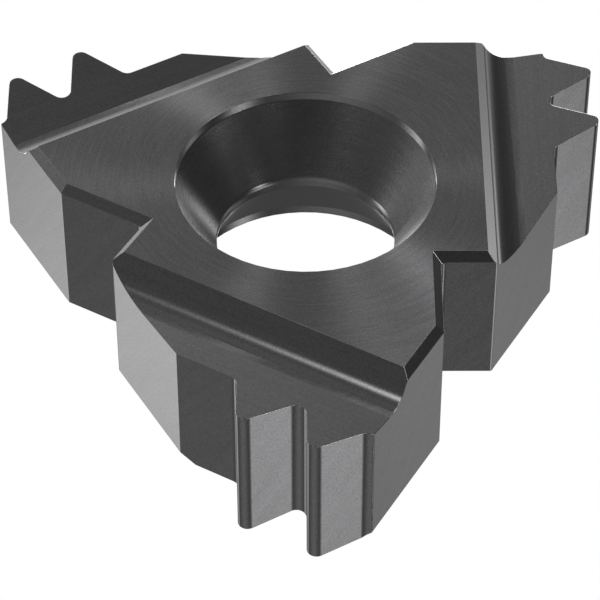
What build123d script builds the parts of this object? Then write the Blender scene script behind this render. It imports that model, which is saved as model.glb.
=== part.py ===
from build123d import *

import os
from math import cos, radians, sin, tan

os.makedirs("parts", exist_ok=True)

# Threading insert of cemented carbide: three alike corners around a screw hole, each with two
# full-form teeth. Sizes are in millimetres and heights count up from the seat.
# On each corner, "along" follows the cutting edge and "out" leads away from the hole's axis.

# Body
thickness = 3.97
corner_count = 3
first_corner_turn = -30.0

# Screw hole, open to both faces and narrowest at its waist, which flares towards the seat
screw_hole_diameter = 4.2
mouth_diameter = 6.1
top_mouth_depth = 0.22
bottom_mouth_depth = 0.22
waist_height = 1.96
waist_length = 0.12
waist_flare_depth = 0.23
waist_flare_width = 0.05
waist_rounding = 0.2

# Walls of a corner, as distances from the hole's axis
end_wall = 5.05
notch_back_wall = 2.57
notch_side_wall = 3.07

# Teeth, the first with the longest reach from the hole's axis
first_tooth_reach = 6.99
thread_pitch = 1.75
thread_angle = 60.0
tooth_height = 1.105
tip_radius = 0.22
root_radius = 0.23
second_tooth_drop = 0.07
end_root_drop = 0.065
end_land_width = 0.16

# Slanting flank that leads from the notch out to the cutting edge
flank_depth = 1.525
flank_angle = 30.0

# Chip groove, measured inwards from the first tooth's tip and down from the top
groove_width = 2.85
groove_bevel_width = 0.22
groove_bevel_drop = 0.25
rake_width = 1.89
rake_angle = 10.0
cutting_tip_drop = 0.31

# Broken and rounded edges of the body
top_chamfer = 0.19
bottom_chamfer = 0.2
wall_edge_radius = 0.08
notch_corner_radius = 0.13
cutting_corner_radius = 0.04

# Reach of the cutting solids beyond the body
clearance = 3.0
spot_tolerance = 0.001

# Straight parts of the outline, as distances from the hole's axis
land = first_tooth_reach - tooth_height
flank_start = land - flank_depth
end_root = land - end_root_drop

# Sharp profile of the teeth, before their tips and roots are rounded
half_thread_angle = radians(thread_angle / 2)
first_apex_out = first_tooth_reach + tip_radius / sin(half_thread_angle) - tip_radius
second_apex_out = first_apex_out - second_tooth_drop
last_root_along = end_wall - end_land_width
second_tooth_along = last_root_along - (second_apex_out - end_root) * tan(half_thread_angle)
first_tooth_along = second_tooth_along - thread_pitch
valley_depth = (thread_pitch / tan(half_thread_angle) + second_tooth_drop) / 2
valley_along = first_tooth_along + valley_depth * tan(half_thread_angle)

# Points where the walls of one corner meet, each as along and out
corner_step = 360 / corner_count
step = radians(corner_step)
notch_inner = (-notch_back_wall, notch_side_wall)
notch_outer = (-notch_back_wall, flank_start)
flank_end = (-notch_back_wall + (land - flank_start) / tan(radians(flank_angle)), land)
first_root = (first_tooth_along - (first_apex_out - land) * tan(half_thread_angle), land)
first_apex = (first_tooth_along, first_apex_out)
valley = (valley_along, first_apex_out - valley_depth)
second_apex = (second_tooth_along, second_apex_out)
last_root = (last_root_along, end_root)
end_corner = (end_wall, end_root)
end_foot = (end_wall, (notch_side_wall - end_wall * sin(step)) / cos(step))
corner_outline = [
    notch_inner,
    notch_outer,
    flank_end,
    first_root,
    first_apex,
    valley,
    second_apex,
    last_root,
    end_corner,
    end_foot,
]


def corner_turns():
    """Turn of each corner about the hole's axis, in degrees."""
    return [first_corner_turn + number * corner_step for number in range(corner_count)]


def spot(point, turn, height=0.0):
    """Place a corner's point in the part's frame."""
    along, out = point
    return Vector(along, -out, height).rotate(Axis.Z, turn)


def spots(points, height=0.0):
    """Place the same points of every corner."""
    return [spot(point, turn, height) for turn in corner_turns() for point in points]


def among(place, targets):
    """Tell whether a place is one of the targets."""
    return any((place - target).length < spot_tolerance for target in targets)


def wall_edges(shape, height, with_flanks):
    """Pick the edges of the body's walls that lie at one height."""
    middles = []
    for turn in corner_turns():
        walls = [(notch_inner, notch_outer, turn), (end_corner, end_foot, turn)]
        if with_flanks:
            walls.append((notch_outer, flank_end, turn))
        for start, end, wall_turn in walls:
            middles.append((spot(start, wall_turn, height) + spot(end, wall_turn, height)) / 2)
        next_inner = spot(notch_inner, turn + corner_step, height)
        middles.append((spot(end_foot, turn, height) + next_inner) / 2)
    return [edge for edge in shape.edges() if among(edge.position_at(0.5), middles)]


def upright_edges(shape, points):
    """Pick the upright edges that stand on the same points of every corner."""
    feet = spots(points)
    uprights = shape.edges().filter_by(Axis.Z)
    return [edge for edge in uprights if among(Vector(edge.center().X, edge.center().Y, 0), feet)]


def plan():
    """Outline of the whole insert, with its tooth tips and roots rounded."""
    outline = Sketch() + make_face(Polyline(*spots(corner_outline), close=True))
    tips = spots([first_apex, second_apex])
    roots = spots([first_root, valley, last_root])
    outline = fillet([v for v in outline.vertices() if among(v.center(), tips)], tip_radius)
    return fillet([v for v in outline.vertices() if among(v.center(), roots)], root_radius)


def body():
    """Outline raised to the full thickness, with its walls' edges broken and rounded."""
    block = extrude(plan(), thickness)
    block = chamfer(wall_edges(block, thickness, with_flanks=False), top_chamfer)
    block = chamfer(wall_edges(block, 0.0, with_flanks=True), bottom_chamfer)
    block = fillet(upright_edges(block, [notch_outer, end_foot]), wall_edge_radius)
    block = fillet(upright_edges(block, [notch_inner]), notch_corner_radius)
    return fillet(upright_edges(block, [flank_end, end_corner]), cutting_corner_radius)


def groove_cutter():
    """Solid that clears one chip groove and lays down its rake face."""
    rake_slope = tan(radians(rake_angle))
    rake_direction = (cos(radians(rake_angle)), sin(radians(rake_angle)))
    cutting_tip_height = thickness - cutting_tip_drop
    above = thickness + clearance
    beyond = first_tooth_reach + clearance
    groove_start = first_tooth_reach - groove_width
    top_edge = (groove_start, thickness)
    bevel_end = (groove_start + groove_bevel_width, thickness - groove_bevel_drop)
    rake_low = (first_tooth_reach - rake_width, cutting_tip_height - rake_width * rake_slope)
    rake_high = (beyond, cutting_tip_height + clearance * rake_slope)
    arc = TangentArc(rake_low, bevel_end, tangent=(-rake_direction[0], -rake_direction[1]))
    sides = Polyline(rake_low, rake_high, (beyond, above), (groove_start, above), top_edge, bevel_end)
    section = make_face([arc, sides])
    across = Plane(origin=(0, 0, 0), x_dir=(0, -1, 0), z_dir=(-1, 0, 0))
    return extrude(across * section, end_wall + clearance, both=True)


def hole_cutter():
    """Solid that opens the screw hole, with its waist eased into the cones above and below."""
    mouth = mouth_diameter / 2
    narrow = screw_hole_diameter / 2
    cone_foot = (narrow, waist_height + waist_length)
    flare_foot = (narrow + waist_flare_width, waist_height - waist_flare_depth)
    profile = Sketch() + make_face(
        Polyline(
            (0, 0),
            (mouth, 0),
            (mouth, bottom_mouth_depth),
            flare_foot,
            (narrow, waist_height),
            cone_foot,
            (mouth, thickness - top_mouth_depth),
            (mouth, thickness),
            (0, thickness),
            close=True,
        )
    )
    eased = [Vector(*cone_foot, 0), Vector(*flare_foot, 0)]
    profile = fillet([v for v in profile.vertices() if among(v.center(), eased)], waist_rounding)
    return revolve(Plane.XZ * profile, Axis.Z)


insert = body()
for turn in corner_turns():
    insert -= Rot(0, 0, turn) * groove_cutter()
insert -= hole_cutter()

export_step(insert, "parts/insert.step")
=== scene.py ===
import math

import bpy
from mathutils import Matrix, Vector

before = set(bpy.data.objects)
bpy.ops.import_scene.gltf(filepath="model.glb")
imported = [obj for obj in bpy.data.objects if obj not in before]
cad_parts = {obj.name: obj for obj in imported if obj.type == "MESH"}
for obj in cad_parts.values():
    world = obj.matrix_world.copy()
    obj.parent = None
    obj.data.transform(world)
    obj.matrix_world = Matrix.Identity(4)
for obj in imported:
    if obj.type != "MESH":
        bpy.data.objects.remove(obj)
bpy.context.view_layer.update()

MM = 0.001
MM_PER_METRE = 1000.0
WHITE = (1.0, 1.0, 1.0, 1.0)
UP = (0.0, 0.0, 1.0)

# Places of the vector sockets on Blender's Mix node, whose sockets share their names
MIX_FIRST_VECTOR = 4
MIX_SECOND_VECTOR = 5
MIX_VECTOR_RESULT = 1

# Soft round lights: azimuth, height and half width in degrees, and strength.
# Azimuth 0 is the camera's right, and 90 is away from it. Light from a negative height passes
# through the table to the insert.
LIGHTS = [
    # A long low strip of lamps behind the insert, for the hole's seat and the grooves
    (65, -5, 7, 8.0),
    (80, -5, 7, 12.0),
    (90, -15, 7, 9.0),
    (90, -35, 6, 9.0),
    (105, -32, 9, 0.7),
    (45, -20, 5, 1.6),
    # A wide glow above the strip, and a lamp on the back left
    (105, 10, 22, 1.0),
    (135, 12, 6, 7.0),
    # Softboxes high up on the right, in front and on the left
    (0, 45, 6, 13.0),
    (-5, 55, 14, 2.4),
    (-50, 60, 6, 8.0),
    (-140, 60, 6, 9.0),
    # Faint wide glows on the left, and one overhead
    (-150, 30, 25, 0.1),
    (150, 30, 22, 0.5),
    (120, 70, 20, 0.15),
    (160, -10, 20, 0.3),
    # Low lamps all round, for the upright walls and their edges
    (165, -30, 7, 3.0),
    (150, -45, 6, 1.3),
    (-35, -20, 6, 3.5),
    (-30, -45, 8, 1.3),
    (30, -45, 8, 0.45),
    (-120, -45, 30, 0.35),
]

# Even level of light from all round, and of the backdrop that only the camera sees
AMBIENT = 0.1
BACKDROP = 1.0

# Table top, in metres, a hair below the insert
TABLE_SIZE = 0.6
TABLE_GAP = 0.00002

# Camera, found by fitting the insert's corners to the photograph's frame
PHOTO_WIDTH_PX = 600
FOCAL_LENGTH_PX = 3180.1
SENSOR_WIDTH_MM = 36.0
CAMERA_PLACE_MM = (-0.133, -54.03, 54.459)
CAMERA_ELEVATION = 45.233
CAMERA_ROLL = -0.106
CLIP_START = 0.001
CLIP_END = 10.0

# Directions of the insert's corners, in degrees, and the number of directions that its walls
# can face, which lie 30 degrees apart
CORNER_BEARINGS = (0.0, -120.0, 120.0)
WALL_DIRECTIONS = 12.0

# Ends of the steps between regions, in millimetres: from the hole's axis, up from the
# seat face, and from the axis out towards the nearest corner
HOLE_RADIUS = (3.05, 3.07)
WORN_AND_HIGHLIT_RADIUS = (3.1, 3.3)
BODY_RADIUS = (4.5, 4.6)
CONE_FOOT_HEIGHT = (2.08, 2.16)
CONE_RIM_HEIGHT = (3.7, 3.76)
BEVEL_REACH = (4.36, 4.38)
TEETH_REACH = (5.2, 5.4)

# Ends of the steps in how far a face looks up, from 0 on a wall to 1 on the top
FLAT_RISE = (0.99, 0.996)
WALL_RISE = (0.02, 0.1)
GROOVE_RISE = (0.05, 0.15)
BEVEL_RISE = (0.68, 0.69)

# Edges are rounded in the shading alone, by this many millimetres, and count as worn by the
# cosine of the angle that the rounding turns them; their lightening is partly wear and partly a
# painted highlight
EDGE_EASE = 0.022
WORN_AND_HIGHLIT_COSINE = (0.9, 0.995)

# Upright edges face between the walls' directions. The cosine of their bearing times the number
# of those directions falls below the ends of this step there.
BETWEEN_WALLS = (-0.5, 0.2)

# Leans of the shading in radians: the cone's at the seat face and its growth for each
# millimetre of height, and the groove's bevel
CONE_LEAN = -0.316
CONE_LEAN_PER_MM = 0.109
BEVEL_LEAN = -0.123

# Fineness of the marks of grinding, for each millimetre across and along them, or round the hole
# on a circle of radius one, and how far the bands slant for each millimetre of height
RINGS_ACROSS = 16.0
RINGS_ROUND = 4.0
TURNED_ACROSS = 13.0
TURNED_ROUND = 3.0
LINES_ACROSS = 12.0
LINES_ALONG = 0.35
BANDS_ACROSS = 2.6
BANDS_ALONG = 0.3
BANDS_SLANT = 0.8
GRAIN = 27.0

# Colour of the coating, and how strongly each mark lightens or darkens it
COATING = (0.2, 0.2, 0.205)
MARK_SHADE = {"rings": 0.65, "turned": 0.35, "lines": 0.3, "bands": 0.3, "grain": 1.0}
# Lightening of the worn edges: partly wear, partly a painted highlight
WORN_AND_HIGHLIT_SHADE = 0.35
# Lightening of the upright edges: a strong painted highlight, partly wear
EDGE_HIGHLIGHT_AND_WEAR = 3.2

# Height of each mark, in millimetres
MARK_HEIGHT = {
    "rings": 0.001,
    "turned": 0.0015,
    "lines": 0.0003,
    "bands": 0.0015,
    "flat_grain": 0.0014,
    "cone_grain": 0.0028,
    "grain": 0.0001,
}

# Roughness of a smooth wall, and what each region and the marks' shade add to it
WALL_ROUGHNESS = 0.08
FLAT_ROUGHNESS = 0.253
HOLE_ROUGHNESS = 0.017
CONE_ROUGHNESS = 0.052
MARK_ROUGHNESS = 0.05


def direction(azimuth, height=0.0):
    """Unit vector from an azimuth and a height in degrees."""
    turn, rise = math.radians(azimuth), math.radians(height)
    return (math.cos(rise) * math.cos(turn), math.cos(rise) * math.sin(turn), math.sin(rise))


class Nodes:
    """Small helper that adds nodes to one tree and links them."""

    def __init__(self, tree):
        self.tree = tree
        tree.nodes.clear()

    def add(self, kind, inputs=None, **settings):
        node = self.tree.nodes.new(kind)
        for name, value in settings.items():
            setattr(node, name, value)
        for key, value in (inputs or {}).items():
            self.feed(node.inputs[key], value)
        return node

    def feed(self, socket, value):
        if isinstance(value, bpy.types.NodeSocket):
            self.tree.links.new(value, socket)
        else:
            socket.default_value = value

    def math(self, operation, *values):
        return self.add("ShaderNodeMath", dict(enumerate(values)), operation=operation).outputs[0]

    def chain(self, operation, first, *others):
        """One operation carried through several values."""
        for other in others:
            first = self.math(operation, first, other)
        return first

    def vector(self, operation, *values):
        node = self.add("ShaderNodeVectorMath", dict(enumerate(values)), operation=operation)
        return node.outputs["Value" if operation in ("DOT_PRODUCT", "LENGTH") else "Vector"]

    def stretched(self, value, factor):
        """Vector times a number."""
        node = self.add("ShaderNodeVectorMath", {0: value, "Scale": factor}, operation="SCALE")
        return node.outputs["Vector"]

    def split(self, value):
        return list(self.add("ShaderNodeSeparateXYZ", {0: value}).outputs)

    def between(self, factor, first, second):
        """Vector that goes from the first to the second as the factor goes from 0 to 1."""
        node = self.add("ShaderNodeMix", {"Factor": factor}, data_type="VECTOR")
        self.feed(node.inputs[MIX_FIRST_VECTOR], first)
        self.feed(node.inputs[MIX_SECOND_VECTOR], second)
        return node.outputs[MIX_VECTOR_RESULT]

    def noise(self, axes, detail, roughness):
        """Soft noise around zero, along three axes, each a value and its fineness."""
        scaled = [self.math("MULTIPLY", value, fineness) for value, fineness in axes]
        place = self.add("ShaderNodeCombineXYZ", dict(enumerate(scaled))).outputs[0]
        settings = {"Vector": place, "Scale": 1.0, "Detail": detail, "Roughness": roughness}
        return self.math("SUBTRACT", self.add("ShaderNodeTexNoise", settings).outputs[0], 0.5)

    def mixed(self, layers, strengths):
        """Sum of the layers that have a strength, each a mask and a pattern."""
        total = 0.0
        for name, strength in strengths.items():
            mask, pattern = layers[name]
            amount = self.math("MULTIPLY", mask, strength)
            total = self.math("MULTIPLY_ADD", pattern, amount, total)
        return total

    def ramp(self, value, ends, start, finish, kind):
        low, high = ends
        inputs = {"Value": value, "From Min": low, "From Max": high, "To Min": start, "To Max": finish}
        return self.add("ShaderNodeMapRange", inputs, interpolation_type=kind).outputs["Result"]

    def rise(self, value, ends):
        """Soft step up from 0 to 1 between two ends."""
        return self.ramp(value, ends, 0.0, 1.0, "SMOOTHSTEP")

    def fall(self, value, ends, kind="SMOOTHSTEP"):
        """Step down from 1 to 0 between two ends."""
        return self.ramp(value, ends, 1.0, 0.0, kind)


def studio():
    """Soft surroundings: a dim room with round softboxes, and a white backdrop for the camera."""
    world = bpy.data.worlds.new("studio")
    bpy.context.scene.world = world
    world.use_nodes = True
    n = Nodes(world.node_tree)
    way = n.add("ShaderNodeTexCoord").outputs["Generated"]
    total = AMBIENT
    for azimuth, height, half_width, strength in LIGHTS:
        sharpness = math.log(2) / (1 - math.cos(math.radians(half_width)))
        along = n.vector("DOT_PRODUCT", way, direction(azimuth, height))
        glow = n.math("EXPONENT", n.math("MULTIPLY_ADD", along, sharpness, -sharpness))
        total = n.math("MULTIPLY_ADD", glow, strength, total)
    light = n.add("ShaderNodeBackground", {"Strength": total, "Color": WHITE}).outputs[0]
    backdrop = n.add("ShaderNodeBackground", {"Strength": BACKDROP, "Color": WHITE}).outputs[0]
    seen = n.add("ShaderNodeLightPath").outputs["Is Camera Ray"]
    shown = n.add("ShaderNodeMixShader", {0: seen, 1: light, 2: backdrop}).outputs[0]
    n.add("ShaderNodeOutputWorld", {"Surface": shown})


def corner_reach(n, place):
    """Distance from the hole's axis out towards the nearest corner."""
    reaches = [n.vector("DOT_PRODUCT", place, direction(bearing)) for bearing in CORNER_BEARINGS]
    return n.chain("MAXIMUM", *reaches)


def body_edges(n, wall, facing, radius, reach):
    """Upright edges of the body, apart from the teeth, by the directions that they face; they carry a
    painted highlight, partly wear.
    """
    facing_x, facing_y, _ = n.split(facing)
    bearing = n.math("ARCTAN2", facing_y, facing_x)
    turned = n.math("COSINE", n.math("MULTIPLY", bearing, WALL_DIRECTIONS))
    on_body = n.chain("MULTIPLY", n.rise(radius, BODY_RADIUS), n.fall(reach, TEETH_REACH))
    return n.chain("MULTIPLY", wall, n.fall(turned, BETWEEN_WALLS), on_body)


def carbide():
    """Dark hard coating over ground carbide."""
    material = bpy.data.materials.new("coated_carbide")
    material.use_nodes = True
    n = Nodes(material.node_tree)

    # Where a point is, in millimetres, and which way its face looks
    metres = n.add("ShaderNodeTexCoord").outputs["Object"]
    place = n.vector("MULTIPLY", metres, (MM_PER_METRE, MM_PER_METRE, MM_PER_METRE))
    x, y, z = n.split(place)
    level = n.vector("MULTIPLY", place, (1.0, 1.0, 0.0))
    radius = n.vector("LENGTH", level)
    spoke = n.vector("NORMALIZE", level)
    spoke_x, spoke_y, _ = n.split(spoke)
    reach = corner_reach(n, place)
    facing = n.add("ShaderNodeNewGeometry").outputs["Normal"]
    eased = n.add("ShaderNodeBevel", {"Radius": EDGE_EASE * MM}, samples=8).outputs[0]
    upward = n.split(facing)[2]
    slope = n.math("ABSOLUTE", upward)

    # Regions of the insert, each from 0 to 1
    flat = n.rise(slope, FLAT_RISE)
    in_hole = n.fall(radius, HOLE_RADIUS, "LINEAR")
    outside = n.math("SUBTRACT", 1.0, in_hole)
    cone = n.chain("MULTIPLY", n.rise(z, CONE_FOOT_HEIGHT), n.fall(z, CONE_RIM_HEIGHT), in_hole)
    wall = n.chain("MULTIPLY", outside, n.fall(slope, WALL_RISE))
    sloping = n.math("SUBTRACT", 1.0, flat)
    groove = n.chain("MULTIPLY", outside, n.rise(upward, GROOVE_RISE), sloping)
    bevel = n.chain("MULTIPLY", n.fall(reach, BEVEL_REACH), n.fall(upward, BEVEL_RISE), groove)
    turn_of_edge = n.vector("DOT_PRODUCT", facing, eased)
    # Edges outside the hole, lightened partly as wear and partly as a painted highlight
    worn_and_highlit = n.chain("MULTIPLY", n.fall(turn_of_edge, WORN_AND_HIGHLIT_COSINE), n.rise(radius, WORN_AND_HIGHLIT_RADIUS))
    # Upright edges of the body, for a strong painted highlight that is partly wear
    edge_highlight_and_wear = body_edges(n, wall, facing, radius, reach)

    # Direction of the brushing: up the slopes, and away from the hole on the flat faces
    across = n.between(flat, UP, spoke)
    aside = n.vector("CROSS_PRODUCT", across, facing)
    tangent = n.vector("NORMALIZE", n.vector("CROSS_PRODUCT", facing, aside))

    # Shading that makes the cone look slightly hollow, and the groove's bevel steeper than it is
    cone_lean = n.math("MULTIPLY_ADD", z, CONE_LEAN_PER_MM, CONE_LEAN)
    lean = n.math("MULTIPLY", cone, cone_lean)
    lean = n.math("MULTIPLY_ADD", bevel, BEVEL_LEAN, lean)
    shaped = n.vector("NORMALIZE", n.vector("ADD", eased, n.stretched(tangent, lean)))

    # Marks of the grinding: rings on the top and round the cone, lines along the grooves,
    # slanting bands on the walls and a fine grain everywhere
    sideways = n.vector("DOT_PRODUCT", place, n.vector("CROSS_PRODUCT", facing, UP))
    slant = n.math("MULTIPLY_ADD", z, BANDS_SLANT, sideways)
    rings = n.noise(
        ((spoke_x, RINGS_ROUND), (spoke_y, RINGS_ROUND), (radius, RINGS_ACROSS)),
        detail=3.0,
        roughness=0.7,
    )
    turned = n.noise(
        ((spoke_x, TURNED_ROUND), (spoke_y, TURNED_ROUND), (z, TURNED_ACROSS)),
        detail=2.0,
        roughness=0.6,
    )
    lines = n.noise(
        ((reach, LINES_ACROSS), (x, LINES_ALONG), (y, LINES_ALONG)),
        detail=3.0,
        roughness=0.65,
    )
    bands = n.noise(
        ((slant, BANDS_ACROSS), (sideways, BANDS_ALONG), (z, BANDS_ALONG)),
        detail=3.0,
        roughness=0.6,
    )
    grain = n.noise(((x, GRAIN), (y, GRAIN), (z, GRAIN)), detail=2.0, roughness=0.6)
    layers = {
        "rings": (flat, rings),
        "turned": (cone, turned),
        "lines": (groove, lines),
        "bands": (wall, bands),
        "flat_grain": (flat, grain),
        "cone_grain": (cone, grain),
        "grain": (1.0, grain),
    }

    # Colour, relief and roughness
    shade = n.mixed(layers, MARK_SHADE)
    tone = n.math("ADD", shade, 1.0)
    # Painted highlight, partly wear, along all edges outside the hole
    tone = n.math("MULTIPLY_ADD", worn_and_highlit, WORN_AND_HIGHLIT_SHADE, tone)
    # Painted highlight along the upright edges, partly wear
    tone = n.math("MULTIPLY_ADD", edge_highlight_and_wear, EDGE_HIGHLIGHT_AND_WEAR, tone)
    relief = {
        "Strength": 1.0,
        "Distance": MM,
        "Height": n.mixed(layers, MARK_HEIGHT),
        "Normal": shaped,
    }
    bump = n.add("ShaderNodeBump", relief).outputs[0]
    roughness = n.math("MULTIPLY_ADD", flat, FLAT_ROUGHNESS, WALL_ROUGHNESS)
    roughness = n.math("MULTIPLY_ADD", in_hole, HOLE_ROUGHNESS, roughness)
    roughness = n.math("MULTIPLY_ADD", cone, CONE_ROUGHNESS, roughness)
    roughness = n.math("MULTIPLY_ADD", shade, MARK_ROUGHNESS, roughness)
    shader = n.add(
        "ShaderNodeBsdfPrincipled",
        {
            "Base Color": n.stretched(COATING, tone),
            "Metallic": 1.0,
            "Roughness": roughness,
            "Anisotropic": 1.0,
            "Tangent": tangent,
            "Normal": bump,
        },
    )
    n.add("ShaderNodeOutputMaterial", {"Surface": shader.outputs[0]})
    return material


def floor():
    """Plain pale table top, which neither lights the insert nor shows in it."""
    bpy.ops.mesh.primitive_plane_add(size=TABLE_SIZE, location=(0, 0, -TABLE_GAP))
    table = bpy.context.object
    table.name = "table"
    material = bpy.data.materials.new("pale_table")
    material.use_nodes = True
    n = Nodes(material.node_tree)
    shader = n.add("ShaderNodeEmission", {"Color": WHITE, "Strength": 1.0})
    n.add("ShaderNodeOutputMaterial", {"Surface": shader.outputs[0]})
    table.data.materials.append(material)
    table.visible_glossy = False
    table.visible_diffuse = False


def camera():
    """Camera at the photograph's place and angle."""
    data = bpy.data.cameras.new("camera")
    data.sensor_width = SENSOR_WIDTH_MM
    data.lens = SENSOR_WIDTH_MM * FOCAL_LENGTH_PX / PHOTO_WIDTH_PX
    data.clip_start = CLIP_START
    data.clip_end = CLIP_END
    eye = bpy.data.objects.new("camera", data)
    pitch = Matrix.Rotation(math.pi / 2 - math.radians(CAMERA_ELEVATION), 4, "X")
    roll = Matrix.Rotation(math.radians(CAMERA_ROLL), 4, "Z")
    eye.matrix_world = Matrix.Translation(Vector(CAMERA_PLACE_MM) * MM) @ pitch @ roll
    bpy.context.collection.objects.link(eye)
    bpy.context.scene.camera = eye


def dress(insert):
    """Coat the insert, and leave out its shadow and its reflections of itself."""
    insert.data.materials.clear()
    insert.data.materials.append(carbide())
    insert.visible_glossy = False
    insert.visible_shadow = False


bpy.context.scene.view_settings.view_transform = "Standard"
studio()
dress(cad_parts["insert"])
floor()
camera()
